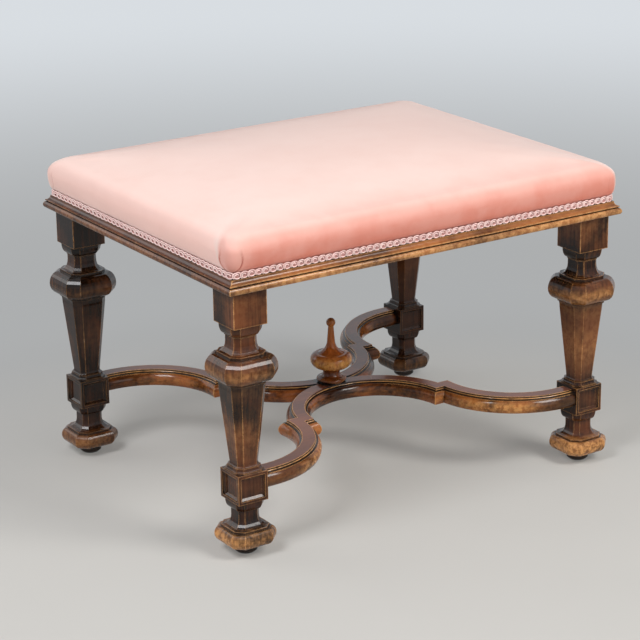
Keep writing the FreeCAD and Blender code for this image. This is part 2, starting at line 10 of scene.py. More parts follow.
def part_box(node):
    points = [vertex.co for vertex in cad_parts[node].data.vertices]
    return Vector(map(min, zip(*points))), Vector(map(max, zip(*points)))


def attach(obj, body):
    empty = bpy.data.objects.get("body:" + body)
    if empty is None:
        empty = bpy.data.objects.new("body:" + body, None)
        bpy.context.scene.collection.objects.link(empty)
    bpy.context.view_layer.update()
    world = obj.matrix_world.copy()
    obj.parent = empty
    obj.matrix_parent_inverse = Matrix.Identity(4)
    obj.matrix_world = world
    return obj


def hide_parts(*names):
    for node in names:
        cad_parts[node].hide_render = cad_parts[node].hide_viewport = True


# Dressing stool: a velvet seat edged with scroll braid, on a frame of worn, polished wood.
# Metres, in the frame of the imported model, with the front at -Y. Colours are linear.
# A span is a low and a high end of a value, and often what they are mapped to.

# Camera
camera_azimuth = math.radians(-33.30)
camera_elevation = math.radians(18.75)
camera_roll = math.radians(0.72)
camera_target = Vector((-0.0506, -0.0482, 0.235))
camera_distance = 3.36
camera_lens = 130.84

# Seat: heights and widths of the stuffed edge, the corners of its outlines, and the points of its mesh
cover_behind_braid = 0.0031
cover_thickness = 0.0015
cover_clearance = 0.0003
roll_height = 0.0248
shoulder_width = 0.022
shoulder_height = 0.019
foot_corner = 0.0058
seat_corner = 0.0128
corner_spread = 0.30
roll_rows = 16
shoulder_rows = 14
crown_rows = 16
crown_crowding = 1.5
crown_slit = 0.002
corner_steps = 14
fine_step = 0.0015
fine_reach = 0.036
coarse_step = 0.014

# Painted sheen and shade of the velvet: how deep its colour is at heights above the braid, deepest low down
# as painted shade, with the short ends brushed up pale as painted sheen. At the front left corner it turns at
# the pleat, more softly and nearer to the corner further up.
sheen_shade_heights = (0.0, 0.024, 0.036, 0.046, 0.056)
sheen_shade_depths = (0.9, 0.76, 0.54, 0.26, 0.0)
sheen_shade_ends = -1.0
sheen_shade_turn = 0.25
sheen_shade_blend = 0.005
sheen_shade_corner = 0.10
sheen_shade_corner_reach = 0.03
sheen_shade_lean = 0.6

# Pleats at the corners: arcs from the braid up, with how far from the corner they start and bulge out to
pleat_height = 0.025
pleat_bulge = 0.65
pleat_long = (0.0105, 0.0192)
pleat_short = (0.0120, 0.0250)
pleat_depth = 0.0016
pleat_width = 0.0011
pleat_lip = 0.0009
pleat_lip_reach = 0.005
pleat_fade = 0.006
pleat_faint = 0.15

# Unevenness of the stuffing
ripple_depth = 0.0012
ripple_length = 0.045

# Cloth simulation of the cover, and how its moves are carried to the fine mesh
cloth_voxel = 0.006
cloth_pressure = 4.0
cloth_frames = 20
cloth_draw_in = 0.0005
cloth_cap = 0.0025
cloth_hem = 0.001
cloth_blend = 0.008
cloth_near = 6
cloth_soft = cloth_voxel / 4

# Braid: loops of cord in front of a woven band
loop_pitch = 0.0110
loop_half_width = 0.0057
loop_half_height = 0.0044
loop_start = 1.25
loop_turns = 1.6
loop_inner = 0.36
loop_curl_from = 1 / 3
loop_squareness = 2.6
loop_steps = 30
loop_lean = 0.0007
loop_rise = 0.0006
loop_wobble = 0.06
loop_tilt = 3
cord_radius = 0.00085
cord_sides = 6
band_setback = 0.0012
band_margin = 0.0010
band_step = 2 * fine_step
braid_seed = 5

# Velvet: colours of its pile, with painted sheen and shade among them, and the sizes of its unevenness, as
# waves in a metre
# The deep colour is deepened as painted shade, and the top and end colours are paler as painted sheen and
# light
velvet_deep_shaded = (0.71, 0.205, 0.138)
velvet_lit_ends = (0.93, 0.605, 0.535)
velvet_lit_top = (0.86, 0.645, 0.585)
velvet_brushed = (0.9, 0.8, 0.77)
velvet_mottled = (0.93, 0.85, 0.82)
# Colour painted into the folds of the pleats as their shade
velvet_fold_shade = (0.62, 0.32, 0.28)
velvet_sheen = (1.0, 0.88, 0.85)
brush_scale = 5.0
mottle_scale = 30.0
pile_scale = 2600.0

# Braid, jute and iron: darker and lighter colour
cord_colours = ((0.92, 0.65, 0.62), (0.95, 0.73, 0.69))
band_colours = ((0.5, 0.25, 0.23), (0.68, 0.39, 0.36))
webbing_colours = ((0.22, 0.16, 0.09), (0.52, 0.42, 0.27))
hessian_colours = ((0.24, 0.18, 0.1), (0.55, 0.44, 0.28))
iron_colours = ((0.05, 0.05, 0.06), (0.16, 0.13, 0.11))
strand_scale = 1400.0
thread_scale = 1500.0
webbing_thread = 0.0022
hessian_thread = 0.0014
waves_per_metre = 3.2

# Wood: how far edges are softened and rubbed, and how far recesses are darkened by dirt and painted shade
edge_softness = 0.0008
edge_wear = 0.0026
recess_reach = 0.010
rail_reach = 0.005
# Near-black of dirt and painted shade in recesses and grooves
grime_and_shade_colour = (0.012, 0.007, 0.005)
# Dark of stain and painted shade at given heights on the legs, and of the stretcher near the legs
stain_and_shade_colour = (0.07, 0.045, 0.04)
chip_colour = (0.62, 0.44, 0.28)
pore_colour = (0.4, 0.33, 0.3)

# Grain: waves in a metre, for streaks and pores across and along it
patch_scale = 12.0
streak_scale = (210.0, 8.0)
pore_scale = (1500.0, 45.0)
spot_scale = 120.0
worn_place_scale = 28.0
streak_share = 0.34
patch_share = 0.76

# Finish of the wood: spans over which each of its effects sets in
edge_span = (0.995, 0.93)
edge_places = (0.3, 0.56, 0.05, -0.004)
figure_span = (0.4, 0.7)
pore_span = (0.5, 0.3, 0.0, 0.35)
stain_shade_streaks = (0.3, 0.7, 1.0, 0.8)
stain_shade_on_edges = (0.0, 0.8, 1.0, 0.35)
top_reflection_span = (0.9, 0.99, 0.0, 0.7)
rubbed_spots = (0.36, 0.58, 0.55, 1.0)
band_figure = (0.36, 0.64, 0.2, 1.0)
band_spots = (0.36, 0.6, 0.2, 1.0)
rubbed_open = (0.6, 0.95)
chip_spots = (0.6, 0.7)
chip_open = (0.75, 0.95)
# Ambient occlusion over which recesses darken with dirt and painted shade
dirt_and_shade_open = (0.94, 0.5, 0.0, 0.96)
rough_span = (0.3, 0.7, 0.1, 0.24)
rough_rubbed = 0.15
pore_relief = 0.6
outer_span = (0.0, 0.06, 0.3, 1.0)
# Share of the rub on inner faces, which leaves them darker, partly as painted shade
inner_rub_and_shade = 0.25
leg_end_dark = 0.75
leg_end_rub = 0.15
# Groove under the stretcher's top: darkened by dirt and painted shade, with a line of rubbed wood and painted
# highlight along its middle where the shape has no bead
groove_edge = 0.0004
groove_dark = 0.9
bead_span = (0.0007, 0.0003)
bead_spots = (0.3, 0.55, 0.2, 0.8)

# Dark, middle and worn colour of each wood
leg_colours = ((0.012, 0.0045, 0.0024), (0.195, 0.058, 0.018), (0.72, 0.35, 0.12))
stretcher_colours = ((0.024, 0.007, 0.003), (0.36, 0.1, 0.022), (0.8, 0.4, 0.125))
# Upward faces of the stretcher: paler mauve-brown as painted reflection of the pale room
stretcher_top_reflection = (0.18, 0.062, 0.036)
finial_colours = ((0.12, 0.026, 0.005), (0.5, 0.13, 0.022), (0.78, 0.42, 0.11))
long_rail_colours = ((0.045, 0.013, 0.005), (0.33, 0.108, 0.029), (0.6, 0.31, 0.115))
# The short rails are darker than the long ones as painted shade
short_rail_shaded_colours = ((0.028, 0.008, 0.004), (0.125, 0.034, 0.012), (0.24, 0.1, 0.036))
pad_colours = ((0.02, 0.012, 0.009), (0.07, 0.04, 0.028), (0.2, 0.12, 0.07))
inner_colours = ((0.3, 0.19, 0.1), (0.5, 0.35, 0.2), (0.55, 0.4, 0.25))

# Each leg: how strong its colours are, and how far its bands are rubbed, its edges worn and its hollows
# darkened by stain and painted shade. The back legs are darker as painted shade of the seat, the front right
# one brighter as painted light.
leg_wear_and_shade = {
    "leg_front_left": (1.05, 1.05, 1.0, 0.85),
    "leg_front_right": (0.95, 1.7, 1.0, 0.7),
    "leg_back_left": (0.75, 0.45, 0.7, 1.0),
    "leg_back_right": (0.48, 0.35, 0.5, 1.0),
}

# Heights on the legs, rails and stretcher, with how far the finish is rubbed through there, or on the legs
# darkened by stain and painted shade
leg_bands = (
    (0.012, 0.6), (0.026, 0.95), (0.036, 0.4), (0.042, 0.0), (0.076, 0.0), (0.10, 0.03), (0.122, 0.0),
    (0.145, 0.06), (0.18, 0.15), (0.22, 0.04), (0.252, 0.14), (0.264, 0.36), (0.276, 0.03), (0.294, 0.0),
    (0.34, 0.04), (0.38, 0.12))
leg_shade = (
    (0.012, 0.0), (0.036, 0.2), (0.042, 0.85), (0.058, 0.45), (0.072, 0.85), (0.079, 0.8), (0.10, 0.7),
    (0.118, 0.8), (0.122, 0.95), (0.134, 0.5), (0.19, 0.15), (0.218, 0.6), (0.247, 0.95), (0.262, 0.3),
    (0.274, 0.55), (0.286, 0.85), (0.296, 0.6), (0.310, 0.45), (0.326, 0.8), (0.334, 0.2), (0.36, 0.2),
    (0.38, 0.4))
rail_bands = ((0.38, 0.95), (0.390, 0.8), (0.393, 0.15), (0.40, 0.3))
arm_bands = ((0.09, 0.15), (0.099, 0.8), (0.106, 0.6))

# Stretcher: the last of its bands and its groove, below its top, and the distances from the stool's middle
# over which its edges begin to be rubbed, its faces are rubbed more, and it turns dark near the legs
arm_band_end = (0.0048, 0.05)
arm_groove = (0.0050, 0.0006)
arm_distances = ((0.125, 0.15), (0.16, 0.26), (0.29, 0.35))

# Finial: height of its belly above the stretcher, with bands from there
finial_belly = 0.035
finial_foot_rub = 0.25
finial_bands = (
    (-0.02, 0.0), (-0.008, 0.6), (0.0, 0.85), (0.006, 0.3), (0.012, 0.0), (0.04, 0.1), (0.065, 0.25))

# Floor, and what is seen far behind the stool, at distances from the middle of the floor; a little way off it
# turns darker grey as painted fall-off of the light
floor_half = 40.0
floor_middle = (-0.2, -0.3, 0.0)
floor_colour = (0.55, 0.54, 0.515)
floor_scuffed = (0.8, 0.8, 0.8)
floor_glow = 0.28
scuff_scale = 3.0
glow_from = (0.5, 1.2)
backdrop_near = (0.415, 0.425, 0.43)
backdrop_near_from = (0.45, 1.0)
backdrop_far = (0.69, 0.725, 0.76)
backdrop_far_from = (1.4, 3.8)

# Studio lights: place, size, power and colour
studio_lights = {
    "key": ((0.9, -2.0, 2.2), 1.1, 58.0, (1.0, 0.98, 0.95)),
    "front": ((0.3, -3.0, 0.8), 1.6, 9.0, (1.0, 0.99, 0.97)),
    "high_left": ((-1.7, -0.6, 2.1), 0.9, 40.0, (0.98, 0.98, 1.0)),
    "overhead": ((0.3, 0.3, 2.6), 2.4, 6.0, (0.98, 0.98, 1.0)),
    "back": ((-1.7, 2.1, 1.5), 1.8, 16.0, (1.0, 0.99, 0.97)),
}
light_aim = Vector((0, 0, 0.25))
ambient_colour = (0.93, 0.95, 1.0, 1.0)
ambient_strength = 0.11
world_colour = (0.66, 0.70, 0.74, 1.0)

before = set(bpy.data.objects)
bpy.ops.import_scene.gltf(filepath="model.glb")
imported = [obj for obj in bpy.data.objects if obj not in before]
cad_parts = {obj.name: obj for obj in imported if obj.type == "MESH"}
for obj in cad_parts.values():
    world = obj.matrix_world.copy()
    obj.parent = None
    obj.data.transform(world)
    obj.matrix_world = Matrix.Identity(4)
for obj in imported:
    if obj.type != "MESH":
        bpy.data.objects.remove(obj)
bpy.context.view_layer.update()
cover_low, cover_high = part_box("cover")
gimp_low, gimp_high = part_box("gimp")
hessian_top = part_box("hessian")[1].z


class Shader:
    """Node tree of one material, with its Principled shader."""

    def __init__(self, name):
        self.material = bpy.data.materials.new(name)
        self.material.use_nodes = True
        self.tree = self.material.node_tree
        self.principled = self.tree.nodes["Principled BSDF"]
        self.place = self.add("TexCoord").outputs["Object"]

    def feed(self, socket, value):
        if isinstance(value, bpy.types.NodeSocket):
            self.tree.links.new(value, socket)
        elif socket.type == "RGBA":
            socket.default_value = (*value, 1.0)
        else:
            socket.default_value = value

    def add(self, kind, inputs=None, **settings):
        node = self.tree.nodes.new("ShaderNode" + kind)
        for key, value in settings.items():
            setattr(node, key, value)
        for key, value in (inputs or {}).items():
            self.feed(node.inputs[key], value)
        return node

    def set(self, **values):
        """Feeds the Principled shader, with _ for the spaces in its names."""
        for key, value in values.items():
            self.feed(self.principled.inputs[key.replace("_", " ")], value)

    def math(self, operation, a, b=0.0, clamp=False):
        return self.add("Math", {0: a, 1: b}, operation=operation, use_clamp=clamp).outputs[0]

    def times(self, a, b, clamp=False):
        return self.math("MULTIPLY", a, b, clamp)

    def plus(self, a, b, clamp=False):
        return self.math("ADD", a, b, clamp)

    def mix(self, share, a, b):
        return self.add("Mix", {0: share, 6: a, 7: b}, data_type="RGBA").outputs[2]

    def darken(self, share, a, b):
        return self.add("Mix", {0: share, 6: a, 7: b}, data_type="RGBA", blend_type="MULTIPLY").outputs[2]

    def span(self, value, low, high, to_low=0.0, to_high=1.0):
        """Maps a value from one span to another, smoothly and held at its ends."""
        inputs = {0: value, 1: low, 2: high, 3: to_low, 4: to_high}
        return self.add("MapRange", inputs, interpolation_type="SMOOTHSTEP").outputs[0]

    def stretched(self, scale):
        return self.add("Mapping", {"Vector": self.place, "Scale": scale}).outputs[0]

    def noise(self, vector, scale, detail=4.0, roughness=0.55):
        inputs = {"Vector": vector, "Scale": scale, "Detail": detail, "Roughness": roughness}
        return self.add("TexNoise", inputs).outputs["Fac"]

    def wave(self, vector, scale, axis):
        inputs = {"Vector": vector, "Scale": scale}
        return self.add("TexWave", inputs, bands_direction=axis, wave_profile="SIN").outputs["Fac"]

    def part(self, vector, axis):
        return self.add("SeparateXYZ", {0: vector}).outputs[axis]

    def levels(self, pairs):
        """Value that follows pairs of a height and an amount."""
        low, high = pairs[0][0], pairs[-1][0]
        place = self.add("MapRange", {0: self.part(self.place, "Z"), 1: low, 2: high}).outputs[0]
        ramp = self.add("ValToRGB", {0: place})
        stops = ramp.color_ramp.elements
        while len(stops) < len(pairs):
            stops.new(0.5)
        for stop, (level, amount) in zip(stops, pairs):
            stop.position = (level - low) / (high - low)
            stop.color = (amount, amount, amount, 1.0)
        return ramp.outputs[0]

    def bump(self, height, strength, distance, normal=None):
        inputs = {"Height": height, "Strength": strength, "Distance": distance}
        if normal is not None:
            inputs["Normal"] = normal
        return self.add("Bump", inputs).outputs[0]


def seen_share(tree):
    """1 for rays from the camera and for those a shiny or clear surface sends on, and 0 for the rest."""
    path = tree.nodes.new("ShaderNodeLightPath")
    share = path.outputs["Is Camera Ray"]
    for name in ("Is Glossy Ray", "Is Transmission Ray"):
        either = tree.nodes.new("ShaderNodeMath")
        either.operation = "MAXIMUM"
        tree.links.new(share, either.inputs[0])
        tree.links.new(path.outputs[name], either.inputs[1])
        share = either.outputs[0]
    return share


def along(axis, across, lengthwise):
    """Scale that stretches grain along one axis."""
    return tuple(lengthwise if name == axis else across for name in "XYZ")


def wood(name, axis, colours, bands=(), top=None, groove_dirt_shade=None, shade=(), wear=1.0, outward=None,
         reach=recess_reach):
    """Stained and polished wood: grain along an axis, rubbed edges, recesses darkened by dirt and painted
    shade.
    colours are its dark, middle and worn ones, and top that of faces that look up, a painted reflection of
    the pale room.
    bands are pairs of a height and how far the finish is rubbed through there.
    shade is the same for darkening by stain and painted shade.
    The groove span is where the wood is darkened by dirt and painted shade, with a rubbed bead in its middle
    given a painted highlight.
    wear is how far edges are rubbed, and reach how far recesses are darkened by dirt and painted shade.
    outward has three spans of distances from the stool's middle: where edges begin to be rubbed,
    where the outer faces are rubbed more than the inner ones, which stay darker partly as painted shade, and
    where the wood turns dark."""
    dark, tone, worn = colours
    shader = Shader(name)
    patches = shader.noise(shader.place, patch_scale, 3.0, 0.5)
    streaks = shader.noise(shader.stretched(along(axis, *streak_scale)), 1.0, 5.0, 0.6)
    pores = shader.noise(shader.stretched(along(axis, *pore_scale)), 1.0, 2.0)
    spots = shader.noise(shader.place, spot_scale, 5.0, 0.7)
    worn_places = shader.noise(shader.place, worn_place_scale, 3.0, 0.6)
    geometry = shader.add("NewGeometry").outputs
    soft_edge = shader.add("Bevel", {"Radius": edge_softness}, samples=4).outputs[0]
    wide_edge = shader.add("Bevel", {"Radius": edge_wear}, samples=6).outputs[0]
    both_ways = {0: wide_edge, 1: geometry["Normal"]}
    facing = shader.add("VectorMath", both_ways, operation="DOT_PRODUCT").outputs["Value"]
    sharp = shader.plus(facing, shader.span(worn_places, *edge_places))
    edge = shader.span(sharp, *edge_span, 0.0, wear)
    if outward:
        edges_from, faces_from, dark_from = outward
        away = shader.add("VectorMath", {0: shader.place}, operation="LENGTH").outputs["Value"]
        edge = shader.times(edge, shader.span(away, *edges_from))
    open_air = shader.add("AmbientOcclusion", {"Distance": reach}, samples=6).outputs["AO"]

    figure = shader.plus(shader.times(streaks, streak_share), shader.times(patches, patch_share))
    colour = shader.mix(shader.span(figure, *figure_span), dark, tone)
    colour = shader.darken(shader.span(pores, *pore_span), colour, pore_colour)
    # Darker at given heights by stain and painted shade
    if shade:
        stain = shader.times(shader.levels(shade), shader.span(streaks, *stain_shade_streaks))
        colour = shader.darken(stain, colour, stain_and_shade_colour)
        edge = shader.times(edge, shader.span(stain, *stain_shade_on_edges))
    if outward:
        colour = shader.darken(shader.span(away, *dark_from, 0.0, leg_end_dark), colour, stain_and_shade_colour)
    # Faces that look up take the top colour as painted reflection
    if top:
        facing_up = shader.part(geometry["True Normal"], "Z")
        colour = shader.mix(shader.span(facing_up, *top_reflection_span), colour, top)

    rubbed = shader.times(edge, shader.span(spots, *rubbed_spots))
    if bands:
        patch = shader.times(shader.span(figure, *band_figure), shader.span(spots, *band_spots))
        if outward:
            # Outer faces of the arms rubbed more; the inner ones stay darker, partly as painted shade
            facing_out = shader.times(shader.part(geometry["True Normal"], "Y"),
                                      shader.part(shader.place, "Y"))
            patch = shader.times(patch, shader.span(facing_out, *outer_span))
            patch = shader.times(patch, shader.span(away, *faces_from, inner_rub_and_shade, 1.0))
            patch = shader.times(patch, shader.span(away, *dark_from, 1.0, leg_end_rub))
        rubbed = shader.math("MAXIMUM", rubbed, shader.times(shader.levels(bands), patch))
    rubbed = shader.times(rubbed, shader.span(open_air, *rubbed_open), clamp=True)
    colour = shader.mix(rubbed, colour, worn)
    chipped = shader.times(edge, shader.span(spots, *chip_spots))
    colour = shader.mix(shader.times(chipped, shader.span(open_air, *chip_open)), colour, chip_colour)
    # Groove darkened by dirt and painted shade
    if groove_dirt_shade:
        low, high = groove_dirt_shade
        level = shader.part(shader.place, "Z")
        inside = shader.times(shader.span(level, low - groove_edge, low + groove_edge),
                              shader.span(level, high + groove_edge, high - groove_edge))
        colour = shader.mix(shader.times(inside, groove_dark), colour, grime_and_shade_colour)
        # Bead along the groove's middle: rubbed, with a painted highlight where the shape has no bead
        off_bead = shader.math("ABSOLUTE", shader.math("SUBTRACT", level, (low + high) / 2))
        bead = shader.times(shader.span(off_bead, *bead_span), shader.span(spots, *bead_spots))
        colour = shader.mix(bead, colour, worn)
    # Recesses darkened by dirt and painted shade
    colour = shader.mix(shader.span(open_air, *dirt_and_shade_open), colour, grime_and_shade_colour)
    rough = shader.plus(shader.span(spots, *rough_span), shader.times(rubbed, rough_rubbed))
    relief = shader.plus(streaks, shader.times(pores, pore_relief))
    shader.set(Base_Color=colour, Roughness=rough, Specular_IOR_Level=0.2, Coat_Weight=0.2,
               Coat_Roughness=0.04, Normal=shader.bump(relief, 0.12, 0.0004, soft_edge))
    return shader.material


def velvet():
    """Short pile, brushed along X, with painted sheen and shade: pale on top and at the ends, deep salmon low
    down the long sides, and darker in the folds of the pleats.
    """
    shader = Shader("velvet")
    brushed = shader.noise(shader.place, brush_scale, 4.0)
    mottled = shader.noise(shader.place, mottle_scale, 3.0)
    pile = shader.noise(shader.place, pile_scale, 2.0)
    # Painted sheen and shade of the pile: pale on top and at the short ends, deep salmon low on the long
    # sides
    raw_sheen_and_shade = shader.add("Attribute", attribute_name="sheen_and_shade").outputs["Fac"]
    sheen_and_shade = shader.times(raw_sheen_and_shade, shader.span(mottled, 0.3, 0.7, 0.92, 1.08), clamp=True)
    colour = shader.mix(shader.span(raw_sheen_and_shade, sheen_shade_ends, 0.0), velvet_lit_ends, velvet_lit_top)
    colour = shader.mix(sheen_and_shade, colour, velvet_deep_shaded)
    colour = shader.darken(shader.span(brushed, 0.35, 0.7, 0.0, 0.3), colour, velvet_brushed)
    colour = shader.darken(shader.span(mottled, 0.4, 0.75, 0.0, 0.2), colour, velvet_mottled)
    # Folds of the pleats darkened as painted shade
    pleat = shader.add("Attribute", attribute_name="pleat").outputs["Fac"]
    colour = shader.darken(pleat, colour, velvet_fold_shade)
    relief = shader.plus(pile, shader.times(mottled, 1.5))
    shader.set(Base_Color=colour, Roughness=0.9, Sheen_Weight=0.9, Sheen_Roughness=0.36,
               Sheen_Tint=velvet_sheen, Specular_IOR_Level=0.15, Normal=shader.bump(relief, 0.2, 0.0005))
    return shader.material


def braid_cord():
    """Pale silky cord with the twist of its strands."""
    shader = Shader("braid_cord")
    strands = shader.noise(shader.place, strand_scale, 2.0)
    tint = shader.noise(shader.place, 90.0, 3.0)
    colour = shader.mix(shader.span(tint, 0.35, 0.65), *cord_colours)
    shader.set(Base_Color=colour, Roughness=0.5, Sheen_Weight=0.3, Sheen_Roughness=0.4,
               Normal=shader.bump(strands, 0.4, 0.0003))
    return shader.material


def braid_band():
    """Woven ground of the braid, deep mauve between the loops."""
    shader = Shader("braid_band")
    threads = shader.noise(shader.place, thread_scale, 2.0)
    colour = shader.mix(shader.span(threads, 0.3, 0.7), *band_colours)
    shader.set(Base_Color=colour, Roughness=0.85, Normal=shader.bump(threads, 0.4, 0.0003))
    return shader.material


def jute(name, colours, thread):
    """Plain weave of jute, with threads of one width along X and Y."""
    shader = Shader(name)
    turns = 0.5 / thread / waves_per_metre
    warp = shader.wave(shader.place, turns, "X")
    weft = shader.wave(shader.place, turns, "Y")
    uneven = shader.noise(shader.place, 120.0, 4.0)
    weave = shader.times(warp, weft)
    lit = shader.plus(weave, shader.span(uneven, 0.3, 0.7, -0.25, 0.25), clamp=True)
    shader.set(Base_Color=shader.mix(lit, *colours), Roughness=0.9,
               Normal=shader.bump(weave, 0.6, thread / 2))
    return shader.material


def iron():
    """Blued iron of the tacks, spotted with brown."""
    shader = Shader("blued_iron")
    stain = shader.noise(shader.place, 300.0, 4.0)
    shader.set(Base_Color=shader.mix(stain, *iron_colours), Metallic=0.8,
               Roughness=shader.span(stain, 0.3, 0.7, 0.35, 0.6))
    return shader.material


def floor_material():
    """Pale floor, plain near the stool, darker grey a little way off as painted fall-off of the light, and
    the studio's own pale grey seen in the distance.
    """
    shader = Shader("floor")
    ends = {0: shader.place, 1: floor_middle}
    away = shader.add("VectorMath", ends, operation="DISTANCE").outputs["Value"]
    scuffs = shader.noise(shader.place, scuff_scale, 5.0)
    colour = shader.darken(shader.span(scuffs, 0.4, 0.7, 0.0, 0.1), floor_colour, floor_scuffed)
    shader.set(Base_Color=colour, Roughness=0.75)
    # A little way off the floor turns darker grey as painted fall-off of the light
    distance = shader.mix(shader.span(away, *backdrop_near_from), floor_colour, backdrop_near)
    distance = shader.mix(shader.span(away, *backdrop_far_from), distance, backdrop_far)
    glow = shader.add("Emission", {"Color": distance}).outputs[0]
    share = shader.times(shader.span(away, *glow_from, floor_glow, 1.0), seen_share(shader.tree))
    both = shader.add("MixShader", {0: share, 1: shader.principled.outputs[0], 2: glow}).outputs[0]
    shader.feed(shader.tree.nodes["Material Output"].inputs["Surface"], both)
    return shader.material


def add_object(name, data):
    """New object in the scene."""
    made = bpy.data.objects.new(name, data)
    bpy.context.scene.collection.objects.link(made)
    return made


def clamped(value):
    """Value held between 0 and 1."""
    return min(1.0, max(0.0, value))


def side_shares(length):
    """Shares of a side where its points lie: fine near both ends, coarse between."""
    fine = [fine_step * i / length for i in range(int(fine_reach / fine_step))]
    edge = fine_reach / length
    count = round((length - 2 * fine_reach) / coarse_step)
    middle = [edge + (1 - 2 * edge) * i / count for i in range(count + 1)]
    return fine + middle + [1 - share for share in reversed(fine)]


side_places = [side_shares(2 * (half - seat_corner)) for half in (cover_high.x, cover_high.y)]


def rounded_outline(half_x, half_y, radius):
    """Points round a rounded rectangle, closest at its corners, each with its outward normal."""
    points = []
    for turn in range(4):
        along_half, out_half = (half_x, half_y) if turn % 2 == 0 else (half_y, half_x)
        straight = along_half - radius
        side = [(Vector((2 * straight * share - straight, -out_half)), Vector((0, -1)))
                for share in side_places[turn % 2]]
        for step in range(1, corner_steps):
            angle = math.pi / 2 * step / corner_steps
            normal = Vector((math.sin(angle), -math.cos(angle)))
            side.append((Vector((straight, radius - out_half)) + normal * radius, normal))
        spin = Matrix.Rotation(turn * math.pi / 2, 2)
        points += [(spin @ place, spin @ normal) for place, normal in side]
    return points


def seat_rows():
    """Outlines of the cover from the hidden pad under it, round its hem and up to the crown:
    half sizes, corner radius, height."""
    foot = Vector((gimp_high.x - cover_behind_braid, gimp_high.y - cover_behind_braid))
    swell = cover_high.x - foot.x
    hem = cover_low.z
    roll_bottom = gimp_high.z + cover_clearance
    widest = roll_bottom + roll_height
    crown_height = cover_high.z - widest - shoulder_height
    reach = foot.y + swell

    def crown(inset):
        return crown_height * (1 - (1 - inset / reach) ** 2)

    def row(out, radius, z):
        return foot.x + out, foot.y + out, radius, z

    rows = [row(-cover_thickness, foot_corner - cover_thickness, hessian_top + 2 * cover_clearance),
            row(-cover_thickness, foot_corner - cover_thickness, hem),
            row(0, foot_corner, hem),
            row(0, foot_corner, roll_bottom)]
    for i in range(1, roll_rows + 1):
        turn = math.pi / 2 * i / roll_rows
        radius = foot_corner + (seat_corner - foot_corner) * i / roll_rows
        rows.append(row(swell * math.sin(turn), radius, roll_bottom + roll_height * (1 - math.cos(turn))))
    for i in range(1, shoulder_rows + 1):
        turn = math.pi / 2 * i / shoulder_rows
        inset = shoulder_width * (1 - math.cos(turn))
        rows.append(row(swell - inset, seat_corner + corner_spread * inset,
                        widest + shoulder_height * math.sin(turn) + crown(inset)))
    for i in range(1, crown_rows + 1):
        inset = shoulder_width + (reach - crown_slit - shoulder_width) * (i / crown_rows) ** crown_crowding
        radius = min(seat_corner + corner_spread * inset, reach - inset)
        rows.append(row(swell - inset, radius, widest + shoulder_height + crown(inset)))
    return rows


def seat_mesh():
    """Smooth closed form of the seat, with the outward direction of each of its points."""
    points = []
    outward = []
    rows = [(rounded_outline(half_x, half_y, radius), z) for half_x, half_y, radius, z in seat_rows()]
    for outline, z in rows:
        points += [(place.x, place.y, z) for place, normal in outline]
        outward += [normal.to_3d() for place, normal in outline]
    count = len(rows[0][0])
    faces = [list(range(count))[::-1], [len(points) - count + i for i in range(count)]]
    for start in range(0, len(points) - count, count):
        for i in range(count):
            j = (i + 1) % count
            faces.append((start + i, start + j, start + count + j, start + count + i))
    mesh = bpy.data.meshes.new("seat")
    mesh.from_pydata(points, [], faces)
    return mesh, outward


def even_copy(mesh):
    """Coarse copy of a mesh, with its points evenly spread."""
    copy = add_object("pressed", mesh.copy())
    remesh = copy.modifiers.new("even", "REMESH")
    remesh.mode = "VOXEL"
    remesh.voxel_size = cloth_voxel
    even = bpy.data.meshes.new_from_object(copy.evaluated_get(bpy.context.evaluated_depsgraph_get()))
    copy.modifiers.clear()
    copy.data = even
    return copy


def swell_as_cloth(copy):
    """Draws a copy of the cover in a little, holds it at its hem and presses it out.
    Gives where its points were and how far they moved, never inwards."""
    points = copy.data.vertices
    rest = [vertex.co.copy() for vertex in points]
    normals = [vertex.normal.copy() for vertex in points]
    hem = gimp_high.z + cloth_hem
    held = copy.vertex_groups.new(name="held")
    for vertex, place, normal in zip(points, rest, normals):
        loose = clamped((place.z - hem) / cloth_blend)
        held.add([vertex.index], 1.0 - loose, "REPLACE")
        vertex.co -= normal * cloth_draw_in * loose
    cloth = copy.modifiers.new("cloth", "CLOTH")
    cloth.settings.vertex_group_mass = "held"
    cloth.settings.use_pressure = True
    cloth.settings.uniform_pressure_force = cloth_pressure
    cloth.settings.effector_weights.gravity = 0.0
    for number in range(1, cloth_frames + 1):
        bpy.context.scene.frame_set(number)
    swollen = copy.evaluated_get(bpy.context.evaluated_depsgraph_get()).data
    moves = []
    for vertex, place, normal in zip(swollen.vertices, rest, normals):
        move = vertex.co - place
        move -= normal * min(0.0, move.dot(normal))
        if move.length > cloth_cap:
            move *= cloth_cap / move.length
        moves.append(move)
    bpy.context.scene.frame_set(1)
    return rest, moves


def press_out(mesh):
    """How far the stuffing presses out every point of the cover, carried over from a coarse copy."""
    copy = even_copy(mesh)
    rest, moves = swell_as_cloth(copy)
    bpy.data.objects.remove(copy)
    tree = KDTree(len(rest))
    for index, place in enumerate(rest):
        tree.insert(place, index)
    tree.balance()
    carried = []
    for vertex in mesh.vertices:
        total = Vector()
        weight = 0.0
        for place, index, distance in tree.find_n(vertex.co, cloth_near):
            share = 1 / (distance + cloth_soft)
            total += moves[index] * share
            weight += share
        carried.append(total / weight)
    return carried


def curve_at(places, values, place):
    """Value between the listed points of a line."""
    for i in range(1, len(places)):
        if place <= places[i]:
            share = (place - places[i - 1]) / (places[i] - places[i - 1])
            share = share * share * (3 - 2 * share)
            return values[i - 1] + (values[i] - values[i - 1]) * share
    return values[-1]


def faces_long_side(normal):
    """Whether a point of the seat lies on its front or back, and not on an end."""
    return abs(normal.y) > abs(normal.x)


